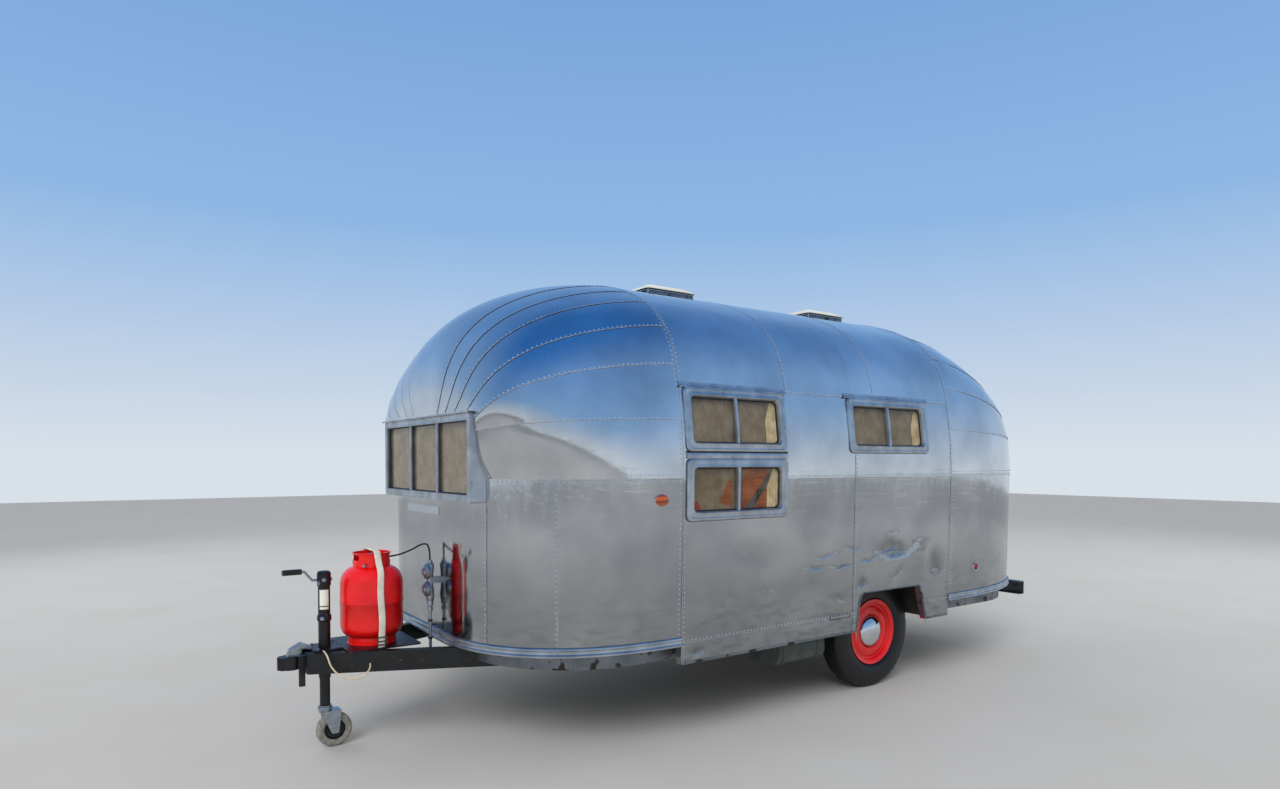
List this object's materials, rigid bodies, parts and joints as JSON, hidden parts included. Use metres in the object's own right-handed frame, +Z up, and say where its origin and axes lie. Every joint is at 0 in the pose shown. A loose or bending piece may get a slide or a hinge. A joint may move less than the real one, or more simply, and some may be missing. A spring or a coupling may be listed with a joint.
{
  "type": "travel caravan",
  "caption": "Riveted aluminium travel caravan with domed ends, side windows, hinged door, free-turning road wheels, gas bottle on the drawbar and a jack with a swivel wheel.",
  "frame": {"origin": "on the floor, at the middle of the overall length and width", "axes": "+Z up, hitch towards -Y, left side +X, entrance door on the -X side"},
  "size_m": [2.177, 5.29, 2.5308],
  "materials": {
    "polished_aluminium": "polished riveted sheet",
    "satin_aluminium": "satin extrusion",
    "pane_glass": "clear pane",
    "black_paint": "semi-gloss black",
    "steel": "zinc plated steel",
    "floor_board": "floor sandwich",
    "tyre_rubber": "rubber",
    "jockey_rubber": "grey rubber",
    "red_paint": "gloss red",
    "chrome_cap": "chrome",
    "white_web": "woven strap",
    "vent_white": "white",
    "amber_lens": "amber lens",
    "red_lens": "red lens",
    "cable_cream": "cream sheath",
    "hose_rubber": "black rubber"
  },
  "bodies": {
    "caravan": {"axle": "black_paint", "bottle_strap": "white_web", "coupler": "steel", "coupler_latch": "steel", "door_hinges": "steel", "drawbar_left": "black_paint", "drawbar_right": "black_paint", "drip_caps": "satin_aluminium", "floor": "floor_board", "front_dome": "polished_aluminium", "front_glass": "pane_glass", "front_lower": "polished_aluminium", "front_moulding": "polished_aluminium", "front_window_frame": "satin_aluminium", "gas_bottle": "red_paint", "gas_hose": "hose_rubber", "gas_regulator": "steel", "gas_tray": "black_paint", "jack_crank": "steel", "jack_tube": "black_paint", "left_glass": "pane_glass", "left_wall": "polished_aluminium", "left_window_frames": "satin_aluminium", "marker_lamps": "amber_lens", "rear_bumper": "black_paint", "rear_dome": "polished_aluminium", "rear_glass": "pane_glass", "rear_lower": "polished_aluminium", "rear_moulding": "polished_aluminium", "rear_window_frame": "satin_aluminium", "right_glass": "pane_glass", "right_wall": "polished_aluminium", "right_window_frames": "satin_aluminium", "roof": "polished_aluminium", "springs": "black_paint", "supply_cable": "cable_cream", "tail_lamps": "red_lens", "vent_curbs": "vent_white", "water_tank": "black_paint", "wheel_box_left": "black_paint", "wheel_box_right": "black_paint"},
    "wheel_left": {"tyre_left": "tyre_rubber", "rim_left": "red_paint", "hub_cap_left": "chrome_cap"},
    "wheel_right": {"tyre_right": "tyre_rubber", "rim_right": "red_paint", "hub_cap_right": "chrome_cap"},
    "leg": {"jack_leg": "black_paint"},
    "fork": {"jack_fork": "steel"},
    "jockey": {"jockey_wheel": "jockey_rubber"},
    "door": {"door": "polished_aluminium", "door_glass": "pane_glass", "door_handle": "chrome_cap"},
    "lid_front": {"vent_lid_front": "vent_white"},
    "lid_rear": {"vent_lid_rear": "vent_white"}
  },
  "joints": [
    {"name": "wheel_left_spin", "type": "hinge", "parent": "caravan", "child": "wheel_left", "pos_m": [0.8175, 0.695, 0.35], "axis": [1, 0, 0], "continuous": true},
    {"name": "wheel_right_spin", "type": "hinge", "parent": "caravan", "child": "wheel_right", "pos_m": [-0.8175, 0.695, 0.35], "axis": [1, 0, 0], "continuous": true},
    {"name": "jack_slide", "type": "slide", "parent": "caravan", "child": "leg", "axis": [0, 0, 1], "range_m": [-0.1, 0.12]},
    {"name": "fork_swivel", "type": "hinge", "parent": "leg", "child": "fork", "pos_m": [0, -2.425, 0.2], "axis": [0, 0, 1], "continuous": true},
    {"name": "jockey_spin", "type": "hinge", "parent": "fork", "child": "jockey", "pos_m": [0, -2.383, 0.086], "axis": [1, 0, 0], "continuous": true},
    {"name": "door_hinge", "type": "hinge", "parent": "caravan", "child": "door", "pos_m": [-1.082, -0.431, 0.545], "axis": [0, 0, 1], "range_deg": [0, 110]},
    {"name": "lid_front_hinge", "type": "hinge", "parent": "caravan", "child": "lid_front", "pos_m": [0, -0.577, 2.49677], "axis": [1, 0, 0], "range_deg": [0, 65]},
    {"name": "lid_rear_hinge", "type": "hinge", "parent": "caravan", "child": "lid_rear", "pos_m": [0, 0.833, 2.49677], "axis": [1, 0, 0], "range_deg": [0, 65]}
  ]
}
